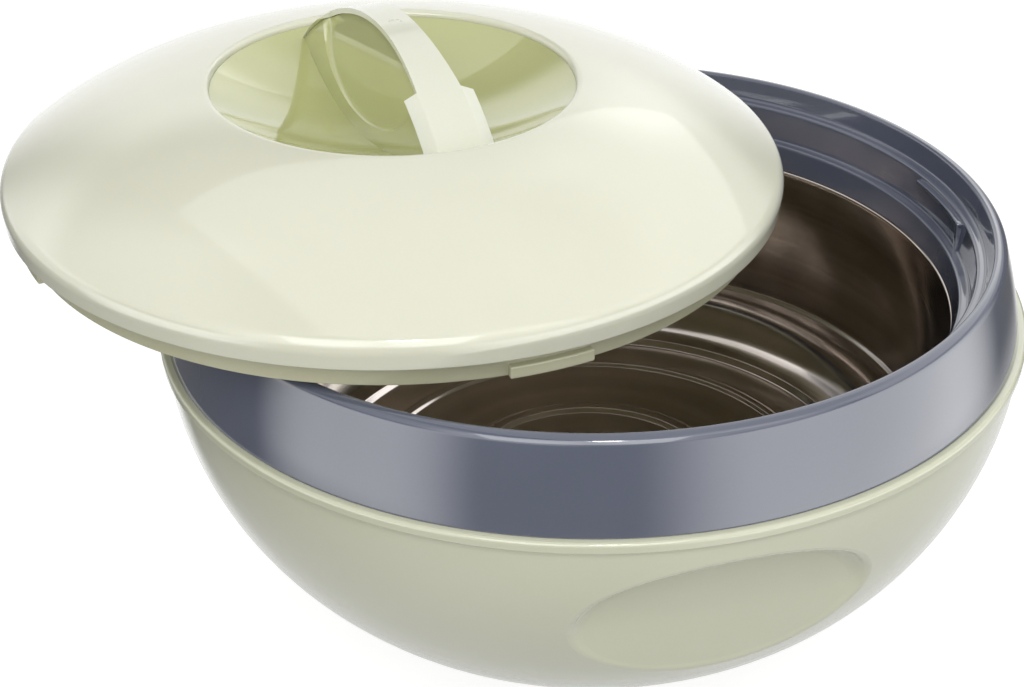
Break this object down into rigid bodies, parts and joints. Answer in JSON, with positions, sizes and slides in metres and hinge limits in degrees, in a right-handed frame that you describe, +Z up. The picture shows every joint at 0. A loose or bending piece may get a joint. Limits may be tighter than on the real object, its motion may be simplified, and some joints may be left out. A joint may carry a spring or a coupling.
{
  "type": "insulated chapati casserole",
  "caption": "Round insulated casserole for flatbreads: green bowl with finger grips, grey-blue collar, steel pot, and a loose twist-lock lid with a strap handle lying across the rim",
  "frame": {"origin": "On the table, at the centre of the foot ring, on the axis of the bowl", "axes": "+Z is up, along the bowl's axis. The two finger grips of the bowl face -Y and +Y. The lid lies across the rim towards -X and +Y, with its handle nearly along Y"},
  "size_m": [0.2921, 0.2684, 0.1842],
  "materials": {
    "shell_green": "gloss",
    "collar_blue": "gloss",
    "pot_steel": "polished",
    "lid_cream": "gloss",
    "dish_olive": "gloss",
    "strap_cream": "gloss",
    "liner_cream": "gloss",
    "foam": "matte"
  },
  "bodies": {
    "bowl": {"outer_shell": "shell_green", "collar": "collar_blue", "inner_pot": "pot_steel", "bowl_foam": "foam", "base_plug": "shell_green"},
    "lid_core": {"lid_foam": "foam"},
    "lid": {"lid_shell": "lid_cream", "lid_dish": "dish_olive", "handle_strap": "strap_cream", "lid_liner": "liner_cream"}
  },
  "joints": [
    {"name": "lid_lift", "type": "slide", "parent": "bowl", "child": "lid_core", "axis": [0, 0, 1], "range_m": [0, 0.12]},
    {"name": "lid_turn", "type": "hinge", "parent": "lid_core", "child": "lid", "pos_m": [-0.0514, 0.0276, 0.13525], "axis": [0.0227, -0.004, 0.9997], "range_deg": [-13, 2]}
  ]
}
